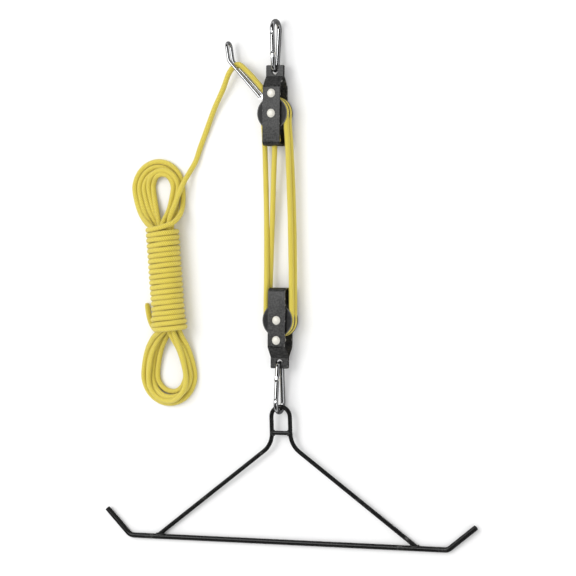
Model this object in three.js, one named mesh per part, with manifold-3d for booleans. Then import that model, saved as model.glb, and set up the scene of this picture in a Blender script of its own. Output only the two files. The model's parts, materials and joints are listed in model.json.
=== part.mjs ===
// Gambrel hoist kit, laid flat on a table: snap hook, upper block with a rope-lock lever, four falls of rope,
// lower block, snap hook and gambrel, with the spare rope tied up in a hank beside them.
// Millimetres. X runs to the right, Y along the hoist towards the hanging end, Z up from the table.
import * as THREE from "three";
import { mergeVertices } from "three/addons/utils/BufferGeometryUtils.js";
import Module from "manifold-3d";

const wasm = await Module();
wasm.setup();

// Gap kept between pieces that rest on, or are cut to fit, one another.
const GAP = 0.3;
const RUNNING_CLEARANCE = 0.05;

const ROPE_RADIUS = 4;
const ROPE_SIDES = 8;
const ROPE_STEP = 20;
const STRAIGHT_END = 3;

// Blocks. A block's own origin is the middle of its axle, +Y towards its tab, +Z through its cheeks.
const STRAP_WIDTH = 28;
const STRAP_THICKNESS = 2.5;
const STRAP_DEPTH = 28;
const TAB_END = 72;
const TAB_LENGTH = 17.2;
const SHOULDER_END = TAB_END - 32.5;
const CROWN_FACE = -48.3;
const CROWN_BEND = 7;
const TAB_HOLE_RADIUS = 5.5;
const TAB_HOLE_FROM_END = 8.5;
const CROWN_HOLE_RADIUS = 4.6;
const CHEEK_OUTSIDE = STRAP_DEPTH / 2;
const CHEEK_INSIDE = CHEEK_OUTSIDE - STRAP_THICKNESS;

// Each rivet head stands in a shallow spot face a little wider than itself, so the cheek around it stays flat.
const SHANK_RADIUS = 3;
const RIVET_HEAD_RADIUS = 6.5;
const RIVET_HEAD_HEIGHT = 2.3;
const SPOT_DEPTH = 0.1;
const RIVET_SEAT = CHEEK_OUTSIDE - SPOT_DEPTH + GAP;
const TAB_RIVET_Y = 29.8;
const SLEEVE_RADIUS = 4.5;

const SHEAVE_RADIUS = 24.5;
const SHEAVE_THICKNESS = 10;
const SHEAVE_OFFSET = 5.25;
const PITCH_RADIUS = 21;
const GROOVE_RADIUS = ROPE_RADIUS + GAP;
const GROOVE_CENTRE = PITCH_RADIUS - 0.3;

// The mid-plane's height puts the rear rivet heads on the table.
const MID_PLANE = RIVET_SEAT + RIVET_HEAD_HEIGHT;
const UPPER_AXLE = new THREE.Vector3(-15, 261, MID_PLANE);
const LOWER_AXLE = new THREE.Vector3(-3, -46.6, MID_PLANE);

// Snap hooks. A hook's own origin is the wire's centre at the narrow end, +Y towards the wide end,
// +Z towards the gate.
const HOOK_LENGTH = 80;
const HOOK_WIRE = 3.5;
const HOOK_NARROW_BEND = 7.5;
const HOOK_WIDE_BEND = 12.5;
const HOOK_SPAN = HOOK_LENGTH - 2 * HOOK_WIRE;
const HOOK_TAPER = Math.asin((HOOK_WIDE_BEND - HOOK_NARROW_BEND) / (HOOK_SPAN - HOOK_WIDE_BEND - HOOK_NARROW_BEND));
// The wire bends within the tab's thickness, so it stands a little off the hole's edge.
const HOOK_OFF_EDGE = 1.1;
const HOOK_FROM_TAB_END = TAB_HOLE_FROM_END - TAB_HOLE_RADIUS + HOOK_WIRE + HOOK_OFF_EDGE;
const GATE_RADIUS = 3.3;
const GATE_PIVOT = 17.5;
const GATE_NOSE = 51;
const TONGUE_THICKNESS = 3;
const SLOT_WIDTH = 3.6;

// Rope-lock lever, measured from the upper block's tab rivet.
const LEVER_WIRE = 2.5;
const LEVER_KNEE = new THREE.Vector2(-19, -6.5);
const LEVER_ELBOW = new THREE.Vector2(-74, 50.2);
const LEVER_TIP = new THREE.Vector2(-78.5, 77.3);
const LEVER_KNEE_SPREAD = 10.4;
const LEVER_ELBOW_SPREAD = 7.2;
const EYE_THICKNESS = 1.9;
const EYE_RADIUS = 4.9;

// The rope leaves the block up and to the left, drawing in towards the middle of the lever.
const LEAD_TURN = THREE.MathUtils.degToRad(45.5);
const LEAD_LENGTH = 16;
const LEAD_DIRECTION = new THREE.Vector3(-Math.cos(LEAD_TURN), Math.sin(LEAD_TURN), -0.12).normalize();

// Gambrel. Its own origin is the centre of the loop's top, +Y towards the hook that holds it.
const LOOP_ROD = 3.175;
const LOOP_BEND = 15.2;
const LEG_BEND = 34;
const LEG_FALL = THREE.MathUtils.degToRad(36.2);
const CROSSBAR_Y = -39.4;
const BAR_ROD = 4;
const BAR_Y = -204;
const LEG_FOOT_X = 216;
const BAR_BEND_X = 262;
const BAR_HOOK_LENGTH = 56;
const LEFT_HOOK_RISE = THREE.MathUtils.degToRad(46);
const RIGHT_HOOK_RISE = THREE.MathUtils.degToRad(38);
const GAMBREL_TURN = THREE.MathUtils.degToRad(1.2);
const LOOP_HEIGHT = 13.2;
const LOOP_SLACK = 1.3;

// Hank of spare rope.
const HANK_LENGTH = 380;
const HANK_WIDTH = 84;
const HANK_HEIGHT = 38;
const HANK_CENTRE = new THREE.Vector2(-203.5, 9);
const HANK_TURN = THREE.MathUtils.degToRad(3.7);

const painted = new THREE.MeshStandardMaterial({ color: 0x3a3a3a, roughness: 0.45, metalness: 0.3 });
const zinc = new THREE.MeshStandardMaterial({ color: 0xdedacb, roughness: 0.35, metalness: 0.9 });
const chrome = new THREE.MeshStandardMaterial({ color: 0xc9ccd0, roughness: 0.12, metalness: 1 });
const spring = new THREE.MeshStandardMaterial({ color: 0x8a8d90, roughness: 0.4, metalness: 1 });
const nylon = new THREE.MeshStandardMaterial({ color: 0x2c2c2e, roughness: 0.5, metalness: 0 });
const enamel = new THREE.MeshStandardMaterial({ color: 0x141414, roughness: 0.4, metalness: 0.2 });
const braid = new THREE.MeshStandardMaterial({ color: 0xe6d56a, roughness: 0.8, metalness: 0 });

const X_AXIS = new THREE.Vector3(1, 0, 0);
const Y_AXIS = new THREE.Vector3(0, 1, 0);
const Z_AXIS = new THREE.Vector3(0, 0, 1);

// A path through stations that are used as they stand, so that a straight run takes one step.
class StationPath extends THREE.Curve {
  constructor(stations) {
    super();
    this.stations = stations;
    this.steps = stations.length - 1;
  }
  getPointAt(u, target = new THREE.Vector3()) {
    return target.copy(this.stations[Math.round(u * this.steps)]);
  }
  getTangentAt(u, target = new THREE.Vector3()) {
    const at = Math.round(u * this.steps);
    const here = this.stations[at];
    const back = this.stations[Math.max(at - 1, 0)];
    const ahead = this.stations[Math.min(at + 1, this.steps)];
    const arriving = here.clone().sub(back).normalize();
    const leaving = ahead.clone().sub(here).normalize();
    return target.copy(arriving).add(leaving).normalize();
  }
}

// The points of a turn about a centre, both ends included.
function turn(centre, start, axis, angle, steps) {
  const arm = start.clone().sub(centre);
  return Array.from({ length: steps + 1 }, (_, i) =>
    arm.clone().applyAxisAngle(axis, (angle * i) / steps).add(centre),
  );
}

// The points of a path with straight runs between corners and a bend of the given radius at each inner corner.
function bent(corners, radii, steps) {
  const stations = [corners[0]];
  for (let i = 1; i < corners.length - 1; i += 1) {
    const corner = corners[i];
    const back = corners[i - 1].clone().sub(corner).normalize();
    const ahead = corners[i + 1].clone().sub(corner).normalize();
    const turned = Math.PI - back.angleTo(ahead);
    const axis = ahead.clone().cross(back).normalize();
    const start = corner.clone().addScaledVector(back, radii[i - 1] * Math.tan(turned / 2));
    const inward = back.clone().add(ahead).normalize();
    const centre = corner.clone().addScaledVector(inward, radii[i - 1] / Math.cos(turned / 2));
    stations.push(...turn(centre, start, axis, turned, steps));
  }
  stations.push(corners[corners.length - 1]);
  return stations;
}

// The same path with points added so that no run is longer than the step.
function divided(stations, step) {
  const points = [stations[0]];
  for (let i = 1; i < stations.length; i += 1) {
    const pieces = Math.max(1, Math.round(stations[i - 1].distanceTo(stations[i]) / step));
    for (let k = 1; k <= pieces; k += 1) {
      points.push(stations[i - 1].clone().lerp(stations[i], k / pieces));
    }
  }
  return points;
}

function circle(radius, sides) {
  return new THREE.Shape(
    Array.from({ length: sides }, (_, i) => {
      const angle = (2 * Math.PI * (i + 0.5)) / sides;
      return new THREE.Vector2(radius * Math.cos(angle), radius * Math.sin(angle));
    }),
  );
}

function tube(stations, radius, sides) {
  const path = new StationPath(stations);
  return new THREE.ExtrudeGeometry(circle(radius, sides), { steps: path.steps, extrudePath: path });
}

// A rod about an axis, between two points.
function rod(from, to, radius, sides) {
  return tube([from, to], radius, sides);
}

// An outline turned about Z. The profile lists [radius, height], the outside going up.
function turned(profile, segments) {
  const points = profile.map(([r, z]) => new THREE.Vector2(r, z));
  return new THREE.LatheGeometry(points, segments).rotateX(Math.PI / 2);
}

// A flat plate in the XY plane, its thickness centred on the plane.
function plate(shape, thickness) {
  const made = new THREE.ExtrudeGeometry(shape, { depth: thickness, bevelEnabled: false, curveSegments: 8 });
  return made.translate(0, 0, -thickness / 2);
}

// A slot's outline: two round ends of one radius, about two points.
function slot(from, to, radius) {
  const along = Math.atan2(to.y - from.y, to.x - from.x);
  const shape = new THREE.Shape();
  shape.absarc(to.x, to.y, radius, along - Math.PI / 2, along + Math.PI / 2, false);
  shape.absarc(from.x, from.y, radius, along + Math.PI / 2, along + (3 * Math.PI) / 2, false);
  return shape;
}

function solidOf(geometry) {
  const loose = geometry.index ? geometry.toNonIndexed() : geometry;
  const bare = new THREE.BufferGeometry().setAttribute("position", loose.attributes.position);
  const merged = mergeVertices(bare, 1e-4);
  return new wasm.Manifold(
    new wasm.Mesh({
      numProp: 3,
      vertProperties: new Float32Array(merged.attributes.position.array),
      triVerts: new Uint32Array(merged.index.array),
    }),
  );
}

function geometryOf(solid) {
  const mesh = solid.getMesh();
  const positions = new Float32Array(mesh.numVert * 3);
  for (let i = 0; i < mesh.numVert; i += 1) {
    positions.set(mesh.vertProperties.subarray(i * mesh.numProp, i * mesh.numProp + 3), i * 3);
  }
  const made = new THREE.BufferGeometry();
  made.setAttribute("position", new THREE.BufferAttribute(positions, 3));
  made.setIndex(new THREE.BufferAttribute(mesh.triVerts, 1));
  const flat = made.toNonIndexed();
  flat.computeVertexNormals();
  return flat;
}

function joined(first, ...others) {
  return geometryOf(others.reduce((solid, other) => solid.add(solidOf(other)), solidOf(first)));
}

function cut(first, ...others) {
  return geometryOf(others.reduce((solid, other) => solid.subtract(solidOf(other)), solidOf(first)));
}

function common(first, other) {
  return geometryOf(solidOf(first).intersect(solidOf(other)));
}

function addPiece(group, name, geometry, material) {
  const mesh = new THREE.Mesh(geometry, material);
  mesh.name = name;
  group.add(mesh);
  return mesh;
}

const at = (x, y, z) => new THREE.Vector3(x, y, z);

// One strip bent round the crown and back on itself, its two ends laid together as the tab.
function strap() {
  const half = STRAP_THICKNESS / 2;
  const layer = GAP / 2 + half;
  const cheek = CHEEK_OUTSIDE - half;
  const crown = CROWN_FACE + half;
  const front = [at(TAB_END, layer, 0), at(TAB_END - TAB_LENGTH, layer, 0), at(SHOULDER_END, cheek, 0)];
  const rear = front.map((p) => at(p.x, -p.y, 0)).reverse();
  const corners = [...front, at(crown, cheek, 0), at(crown, -cheek, 0), ...rear];
  const middle = bent(corners, [4, 4, CROWN_BEND - half, CROWN_BEND - half, 4, 4], 4);
  const path = new StationPath(middle);
  const side = (offset) =>
    middle.map((p, i) => {
      const along = path.getTangentAt(i / path.steps);
      return new THREE.Vector2(p.x - along.y * offset, p.y + along.x * offset);
    });
  const outline = new THREE.Shape([...side(half), ...side(-half).reverse()]);
  const strip = plate(outline, STRAP_WIDTH);
  // the outline's x, y and thickness become the block's Y, Z and X
  strip.applyMatrix4(new THREE.Matrix4().makeBasis(Y_AXIS, Z_AXIS, X_AXIS));

  const edge = STRAP_WIDTH / 2;
  const plan = new THREE.Shape();
  plan.moveTo(-edge, CROWN_FACE - 1);
  plan.lineTo(edge, CROWN_FACE - 1);
  plan.lineTo(edge, TAB_END - 2);
  plan.absarc(edge - 2, TAB_END - 2, 2, 0, Math.PI / 2, false);
  plan.absarc(2 - edge, TAB_END - 2, 2, Math.PI / 2, Math.PI, false);
  plan.lineTo(-edge, CROWN_FACE - 1);
  const trimmed = common(strip, plate(plan, STRAP_DEPTH + 2));

  const through = (y, radius) => rod(at(0, y, -STRAP_DEPTH), at(0, y, STRAP_DEPTH), radius, 24);
  const spot = (y, side) => {
    const floor = side * (CHEEK_OUTSIDE - SPOT_DEPTH);
    return rod(at(0, y, floor), at(0, y, side * STRAP_DEPTH), RIVET_HEAD_RADIUS + GAP, 24);
  };
  return cut(
    trimmed,
    ...[0, TAB_RIVET_Y].flatMap((y) => [through(y, SHANK_RADIUS + GAP), spot(y, 1), spot(y, -1)]),
    through(TAB_END - TAB_HOLE_FROM_END, TAB_HOLE_RADIUS),
    rod(at(0, CROWN_FACE - 5, 0), at(0, CROWN_FACE + 8, 0), CROWN_HOLE_RADIUS, 24),
  );
}

// A shank with a domed head at each end.
function rivet() {
  const dome = [0, 30, 60, 90].map((degrees) => {
    const angle = THREE.MathUtils.degToRad(degrees);
    return [RIVET_HEAD_RADIUS * Math.sin(angle), RIVET_SEAT + RIVET_HEAD_HEIGHT * Math.cos(angle)];
  });
  const lower = dome.map(([r, z]) => [r, -z]);
  const shank = [-RIVET_SEAT, RIVET_SEAT].map((z) => [SHANK_RADIUS, z]);
  return turned([...lower, ...shank, ...dome.reverse()], 20);
}

function sleeve(halfLength) {
  const bore = SHANK_RADIUS + RUNNING_CLEARANCE;
  const profile = [
    [bore, -halfLength],
    [SLEEVE_RADIUS, -halfLength],
    [SLEEVE_RADIUS, halfLength],
    [bore, halfLength],
  ];
  return turned([...profile, profile[0]], 24);
}

function sheave() {
  const half = SHEAVE_THICKNESS / 2;
  const bore = SHANK_RADIUS + RUNNING_CLEARANCE;
  const groove = [-90, -54, -18, 18, 54, 90].map((degrees) => {
    const angle = THREE.MathUtils.degToRad(degrees);
    return [GROOVE_CENTRE - GROOVE_RADIUS * Math.cos(angle), GROOVE_RADIUS * Math.sin(angle)];
  });
  const profile = [
    [bore, -half],
    [SHEAVE_RADIUS, -half],
    [SHEAVE_RADIUS, -half + 0.4],
    ...groove,
    [SHEAVE_RADIUS, half - 0.4],
    [SHEAVE_RADIUS, half],
    [bore, half],
  ];
  return turned([...profile, profile[0]], 36);
}

function block(name, sleeveHalf) {
  const group = new THREE.Group();
  addPiece(group, `${name}_block_strap`, strap(), painted);
  addPiece(group, `${name}_axle_rivet`, rivet(), zinc);
  addPiece(group, `${name}_tab_rivet`, rivet(), zinc).position.y = TAB_RIVET_Y;
  addPiece(group, `${name}_spacer_sleeve`, sleeve(sleeveHalf), zinc).position.y = TAB_RIVET_Y;
  addPiece(group, `${name}_sheave_front`, sheave(), nylon).position.z = SHEAVE_OFFSET;
  addPiece(group, `${name}_sheave_back`, sheave(), nylon).position.z = -SHEAVE_OFFSET;
  return group;
}

// A point on the hook's gate limb, a distance along it from the narrow bend, and a depth across it.
function onGateLimb(distance, across = 0) {
  const start = at(0, HOOK_NARROW_BEND * (1 - Math.sin(HOOK_TAPER)), HOOK_NARROW_BEND * Math.cos(HOOK_TAPER));
  const along = at(0, Math.cos(HOOK_TAPER), Math.sin(HOOK_TAPER));
  const outward = at(0, -Math.sin(HOOK_TAPER), Math.cos(HOOK_TAPER));
  return start.addScaledVector(along, distance).addScaledVector(outward, across);
}

// A plate in the hook's own plane, laid along the gate limb between two distances.
function limbPlate(from, to, radius, thickness) {
  const shape = slot(new THREE.Vector2(from, 0), new THREE.Vector2(to, 0), radius);
  const along = onGateLimb(1).sub(onGateLimb(0));
  const outward = onGateLimb(0, 1).sub(onGateLimb(0));
  const placed = new THREE.Matrix4().makeBasis(along, outward, X_AXIS).setPosition(onGateLimb(0));
  return plate(shape, thickness).applyMatrix4(placed);
}

function hookBody() {
  const narrow = at(0, HOOK_NARROW_BEND, 0);
  const wide = at(0, HOOK_SPAN - HOOK_WIDE_BEND, 0);
  const limbStart = onGateLimb(0);
  const outward = onGateLimb(0, 1).sub(limbStart);
  const wideFront = wide.clone().addScaledVector(outward, HOOK_WIDE_BEND);
  const narrowTurn = turn(narrow, limbStart, X_AXIS, Math.PI - 2 * HOOK_TAPER, 9);
  const wideTurn = turn(wide, wideFront, X_AXIS, -Math.PI - 2 * HOOK_TAPER, 12).reverse();
  const stations = [onGateLimb(GATE_PIVOT - 4.8), ...narrowTurn, ...wideTurn, onGateLimb(GATE_NOSE + GAP)];
  const wire = tube(stations, HOOK_WIRE, 12);
  const pivotTongue = limbPlate(GATE_PIVOT - 7, GATE_PIVOT, 2.9, TONGUE_THICKNESS);
  const noseTongue = limbPlate(GATE_NOSE - 2, GATE_NOSE + 3, 2, TONGUE_THICKNESS);
  const pivot = onGateLimb(GATE_PIVOT);
  const hole = rod(at(-9, pivot.y, pivot.z), at(9, pivot.y, pivot.z), 1.25 + RUNNING_CLEARANCE, 16);
  return cut(joined(wire, pivotTongue, noseTongue), hole);
}

function hookGate() {
  const bar = rod(onGateLimb(GATE_PIVOT - 3), onGateLimb(GATE_NOSE), GATE_RADIUS, 16);
  const pivot = onGateLimb(GATE_PIVOT);
  return cut(
    bar,
    limbPlate(GATE_PIVOT - 9, GATE_PIVOT - 1, 5.5, SLOT_WIDTH),
    limbPlate(GATE_NOSE - 0.5, GATE_NOSE + 9, 5.5, SLOT_WIDTH),
    rod(onGateLimb(GATE_PIVOT), onGateLimb(GATE_PIVOT + 22.5), 1.9, 16),
    rod(at(-9, pivot.y, pivot.z), at(9, pivot.y, pivot.z), 1.45, 16),
  );
}

function gateRivet() {
  const seat = GATE_RADIUS + 0.1;
  const face = seat + 0.7;
  const profile = [
    [0, -face],
    [1.6, -face],
    [2.2, -seat],
    [1.25, -seat],
    [1.25, seat],
    [2.2, seat],
    [1.6, face],
    [0, face],
  ];
  const pivot = onGateLimb(GATE_PIVOT);
  return turned(profile, 16).rotateY(Math.PI / 2).translate(0, pivot.y, pivot.z);
}

function snapHook(name) {
  const group = new THREE.Group();
  const plungerEnd = GATE_PIVOT + 9.5;
  const springEnd = GATE_PIVOT + 22.2;
  addPiece(group, `${name}_hook_body`, hookBody(), chrome);
  addPiece(group, `${name}_hook_gate`, hookGate(), chrome);
  addPiece(group, `${name}_gate_rivet`, gateRivet(), zinc);
  const plunger = rod(onGateLimb(GATE_PIVOT + 2.9 + GAP), onGateLimb(plungerEnd), 1.6, 12);
  addPiece(group, `${name}_gate_plunger`, plunger, zinc);
  const coil = cut(
    rod(onGateLimb(plungerEnd + GAP), onGateLimb(springEnd), 1.6, 12),
    rod(onGateLimb(plungerEnd - 1), onGateLimb(springEnd + 1), 1.05, 12),
  );
  addPiece(group, `${name}_gate_spring`, coil, spring);
  return group;
}

// A hairpin of round wire with its two ends flattened into eyes on the upper block's tab rivet.
function ropeLockLever() {
  const spread = (p, z) => at(p.x, p.y, z);
  const up = LEVER_TIP.clone().sub(LEVER_ELBOW).normalize();
  const bendStart = LEVER_TIP.clone().addScaledVector(up, -LEVER_ELBOW_SPREAD);
  const leg = bent(
    [
      spread(LEVER_KNEE, LEVER_KNEE_SPREAD),
      spread(LEVER_ELBOW, LEVER_ELBOW_SPREAD),
      spread(bendStart, LEVER_ELBOW_SPREAD),
    ],
    [9],
    4,
  );
  const across = at(up.x, up.y, 0).cross(Z_AXIS);
  const end = turn(spread(bendStart, 0), leg[leg.length - 1], across, -Math.PI, 10);
  const otherLeg = leg.map((p) => at(p.x, p.y, -p.z)).reverse();
  const wire = tube([...leg.slice(0, -1), ...end, ...otherLeg.slice(1)], LEVER_WIRE, 12);
  const centre = new THREE.Vector2(0, 0);
  const strip = slot(centre, LEVER_KNEE, 3.2);
  const eye = slot(centre, new THREE.Vector2(-0.5, 0), EYE_RADIUS);
  const ends = [LEVER_KNEE_SPREAD, -LEVER_KNEE_SPREAD].flatMap((z) => [
    plate(strip, EYE_THICKNESS).translate(0, 0, z),
    plate(eye, EYE_THICKNESS).translate(0, 0, z),
  ]);
  const hole = rod(at(0, 0, -20), at(0, 0, 20), SHANK_RADIUS + RUNNING_CLEARANCE, 24);
  return cut(joined(wire, ...ends), hole);
}

function gambrel() {
  const group = new THREE.Group();
  const limbFoot = BAR_Y + (LEG_FOOT_X - LOOP_BEND) * Math.tan(LEG_FALL);
  const leg = bent([at(LOOP_BEND, -LOOP_BEND, 0), at(LOOP_BEND, limbFoot, 0), at(LEG_FOOT_X, BAR_Y, 0)], [LEG_BEND], 6);
  const top = turn(at(0, -LOOP_BEND, 0), leg[0], Z_AXIS, Math.PI, 14);
  const otherLeg = leg.map((p) => at(-p.x, p.y, 0)).slice(1);
  const loop = tube([...leg.slice(1).reverse(), ...top, ...otherLeg], LOOP_ROD, 12);
  const barSpace = rod(at(-300, BAR_Y, 0), at(300, BAR_Y, 0), BAR_ROD + GAP, 16);
  addPiece(group, "gambrel_loop", cut(loop, barSpace), enamel);

  const limbs = [1, -1].map((side) =>
    rod(at(side * LOOP_BEND, 0, 0), at(side * LOOP_BEND, CROSSBAR_Y * 2, 0), LOOP_ROD + GAP, 12),
  );
  const crossbar = rod(at(-LOOP_BEND, CROSSBAR_Y, 0), at(LOOP_BEND, CROSSBAR_Y, 0), LOOP_ROD, 12);
  addPiece(group, "gambrel_crossbar", cut(crossbar, ...limbs), enamel);

  const hookEnd = (side, rise) =>
    at(
      side * (BAR_BEND_X + BAR_HOOK_LENGTH * Math.cos(rise)),
      BAR_Y + BAR_HOOK_LENGTH * Math.sin(rise),
      0,
    );
  const bar = bent(
    [hookEnd(-1, LEFT_HOOK_RISE), at(-BAR_BEND_X, BAR_Y, 0), at(BAR_BEND_X, BAR_Y, 0), hookEnd(1, RIGHT_HOOK_RISE)],
    [14, 14],
    5,
  );
  addPiece(group, "gambrel_spreader_bar", tube(bar, BAR_ROD, 14), enamel);
  return group;
}

function cord(stations, step = ROPE_STEP) {
  return tube(divided(stations, step), ROPE_RADIUS, ROPE_SIDES);
}

// Where the rope meets a sheave: side is -1 for left, 1 for right; layer is -1 for the back sheave. A drop runs
// straight on from there, above the axle (positive) or below it.
function sheaveSide(axle, side, layer, drop = 0) {
  return axle.clone().add(at(side * PITCH_RADIUS, drop, layer * SHEAVE_OFFSET));
}

function fall(from, to) {
  const along = to.clone().sub(from).normalize();
  return cord([from.clone().addScaledVector(along, GAP), to.clone().addScaledVector(along, -GAP)]);
}

// Half a turn round a sheave, on the axle's upper side (1) or lower side (-1), with a short straight end.
function halfTurn(axle, layer, side) {
  const centre = axle.clone().add(at(0, 0, layer * SHEAVE_OFFSET));
  const arc = turn(centre, sheaveSide(axle, 1, layer), Z_AXIS, side * Math.PI, 12);
  const ends = [1, -1].map((end) => sheaveSide(axle, end, layer, -side * STRAIGHT_END));
  return cord([ends[0], ...arc, ends[1]]);
}

// Over the front sheave of the upper block, under the tab rivet's sleeve and out beside the lever.
function haulingTurn() {
  const centre = UPPER_AXLE.clone().add(at(0, 0, SHEAVE_OFFSET));
  const start = sheaveSide(UPPER_AXLE, 1, 1, -STRAIGHT_END);
  const over = turn(centre, sheaveSide(UPPER_AXLE, 1, 1), Z_AXIS, Math.PI / 2, 6);
  const pin = centre.clone().add(at(0, TAB_RIVET_Y, 0));
  const under = turn(pin, over[over.length - 1], Z_AXIS, -LEAD_TURN, 4);
  const end = under[under.length - 1].clone().addScaledVector(LEAD_DIRECTION, LEAD_LENGTH);
  return [start, ...over, ...under.slice(1), end];
}

// From the hauling turn through the lever's loop, down to the table and along it to the hank.
function tailPath(start) {
  const points = [
    start.clone().addScaledVector(LEAD_DIRECTION, GAP),
    start.clone().addScaledVector(LEAD_DIRECTION, 12),
    at(-61, 324.5, 17.6),
    at(-77, 335.5, 16.9),
    at(-91, 325, 15.2),
    at(-104.5, 299, 11),
    at(-120.8, 270, 7),
    at(-134, 240, 4.6),
    at(-145, 213, 4.2),
    at(-153, 190, 5.5),
    at(-168.6, 167.4, 12),
  ];
  return new THREE.CatmullRomCurve3(points, false, "centripetal").getSpacedPoints(34);
}

// The knot that keeps the rope's standing end inside the upper block's crown.
function standingKnot() {
  const profile = [-90, -60, -30, 0, 30, 60, 90].map((degrees) => {
    const angle = THREE.MathUtils.degToRad(degrees);
    return [Math.max(0, 9 * Math.cos(angle)), 8.6 * Math.sin(angle)];
  });
  return turned(profile, 16).rotateX(-Math.PI / 2);
}

function hank() {
  const reach = (HANK_LENGTH - HANK_WIDTH) / 2;
  const outline = slot(new THREE.Vector2(0, -reach), new THREE.Vector2(0, reach), HANK_WIDTH / 2);
  return plate(outline, HANK_HEIGHT).translate(0, 0, HANK_HEIGHT / 2);
}

function rope() {
  const group = new THREE.Group();
  const knotCentre = UPPER_AXLE.clone().add(at(0, CROWN_FACE + STRAP_THICKNESS + GAP + 8.6, 0));
  const crownInside = UPPER_AXLE.clone().add(at(0, CROWN_FACE + STRAP_THICKNESS, 0));
  addPiece(group, "rope_standing_knot", standingKnot(), braid).position.copy(knotCentre);
  const above = (side, layer) => sheaveSide(UPPER_AXLE, side, layer, -STRAIGHT_END);
  const below = (side, layer) => sheaveSide(LOWER_AXLE, side, layer, STRAIGHT_END);
  const pieces = {
    rope_fall_standing: fall(crownInside, below(-1, -1)),
    rope_turn_lower_back: halfTurn(LOWER_AXLE, -1, -1),
    rope_fall_right_back: fall(below(1, -1), above(1, -1)),
    rope_turn_upper_back: halfTurn(UPPER_AXLE, -1, 1),
    rope_fall_left: fall(above(-1, -1), below(-1, 1)),
    rope_turn_lower_front: halfTurn(LOWER_AXLE, 1, -1),
    rope_fall_right_front: fall(below(1, 1), above(1, 1)),
  };
  for (const [name, geometry] of Object.entries(pieces)) addPiece(group, name, geometry, braid);
  const hauling = haulingTurn();
  addPiece(group, "rope_hauling_turn", cord(hauling), braid);
  addPiece(group, "rope_tail", tube(tailPath(hauling[hauling.length - 1]), ROPE_RADIUS, ROPE_SIDES), braid);
  const coil = addPiece(group, "rope_hank", hank(), braid);
  coil.position.set(HANK_CENTRE.x, HANK_CENTRE.y, 0);
  coil.rotation.z = HANK_TURN;
  return group;
}

const kit = new THREE.Group();

const upperBlock = block("upper", LEVER_KNEE_SPREAD - EYE_THICKNESS / 2 - GAP);
upperBlock.position.copy(UPPER_AXLE);
const lever = addPiece(upperBlock, "rope_lock_lever", ropeLockLever(), chrome);
lever.position.y = TAB_RIVET_Y;
const upperHook = snapHook("upper");
upperHook.position.copy(UPPER_AXLE).add(at(0, TAB_END - HOOK_FROM_TAB_END, 0));

const lowerBlock = block("lower", CHEEK_INSIDE - GAP);
lowerBlock.position.copy(LOWER_AXLE);
lowerBlock.rotation.z = Math.PI;
const lowerHook = snapHook("lower");
lowerHook.position.copy(LOWER_AXLE).add(at(0, HOOK_FROM_TAB_END - TAB_END, 0));
lowerHook.rotation.z = Math.PI;

// The loop lies inside the lower hook's wide end; the bar lies on the table.
const spreader = gambrel();
const loopTop = lowerHook.position.y - HOOK_SPAN + HOOK_WIRE + LOOP_ROD + LOOP_SLACK;
spreader.position.set(LOWER_AXLE.x, loopTop, LOOP_HEIGHT);
spreader.rotation.set(Math.asin((LOOP_HEIGHT - BAR_ROD) / -BAR_Y), 0, GAMBREL_TURN, "ZYX");

kit.add(upperBlock, upperHook, lowerBlock, lowerHook, spreader, rope());

// The kit's origin is the middle of its footprint, on the table.
kit.updateMatrixWorld(true);
const box = new THREE.Box3().setFromObject(kit, true);
const middle = box.getCenter(new THREE.Vector3());
kit.position.set(-middle.x, -middle.y, -box.min.z);

export default kit;
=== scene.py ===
"""The looks of a gambrel hoist kit: rope, knot, weld beads, materials, light and camera round the CAD parts.

Metres. +X to the right, +Y along the hoist towards its hanging end, +Z up from the table it lies on.
"""
import json
import math

import bpy
import numpy as np
from mathutils import Matrix, Vector


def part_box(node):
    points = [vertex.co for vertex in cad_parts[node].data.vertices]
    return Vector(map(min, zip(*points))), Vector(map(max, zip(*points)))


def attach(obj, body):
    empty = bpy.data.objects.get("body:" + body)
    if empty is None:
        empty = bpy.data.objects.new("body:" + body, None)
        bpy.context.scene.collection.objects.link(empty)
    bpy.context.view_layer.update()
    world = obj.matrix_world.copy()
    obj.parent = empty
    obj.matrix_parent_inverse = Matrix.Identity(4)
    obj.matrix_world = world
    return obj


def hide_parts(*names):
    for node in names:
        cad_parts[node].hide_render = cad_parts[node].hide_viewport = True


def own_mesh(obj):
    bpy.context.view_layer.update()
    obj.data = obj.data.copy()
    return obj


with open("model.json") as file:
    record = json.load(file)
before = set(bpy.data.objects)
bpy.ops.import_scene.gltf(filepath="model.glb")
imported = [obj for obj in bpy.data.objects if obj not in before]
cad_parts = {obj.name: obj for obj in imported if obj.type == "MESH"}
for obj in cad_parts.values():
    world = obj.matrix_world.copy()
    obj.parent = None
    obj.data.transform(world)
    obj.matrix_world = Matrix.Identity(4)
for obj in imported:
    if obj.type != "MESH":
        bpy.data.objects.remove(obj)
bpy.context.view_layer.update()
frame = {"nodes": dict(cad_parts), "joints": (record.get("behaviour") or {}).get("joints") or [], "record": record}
NODES = frame["nodes"]
JOINTS = {joint["name"]: joint for joint in frame["joints"]}


def middle(node):
    low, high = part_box(node)
    return (low + high) / 2


UPPER_AXLE = middle("upper_axle_rivet")
LOWER_AXLE = middle("lower_axle_rivet")
UPPER_PIN = middle("upper_tab_rivet")
# The part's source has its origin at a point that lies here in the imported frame.
SOURCE_ORIGIN = UPPER_AXLE - Vector((-0.015, 0.261, 0.0165))

# The blocks' strap and sheaves, as in the part's source.
STRAP_WIDTH = 0.028
STRAP_THICKNESS = 0.0025
CROWN_FACE = -0.0483
SHEAVE_OFFSET = 0.00525
PITCH_RADIUS = 0.021

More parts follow.
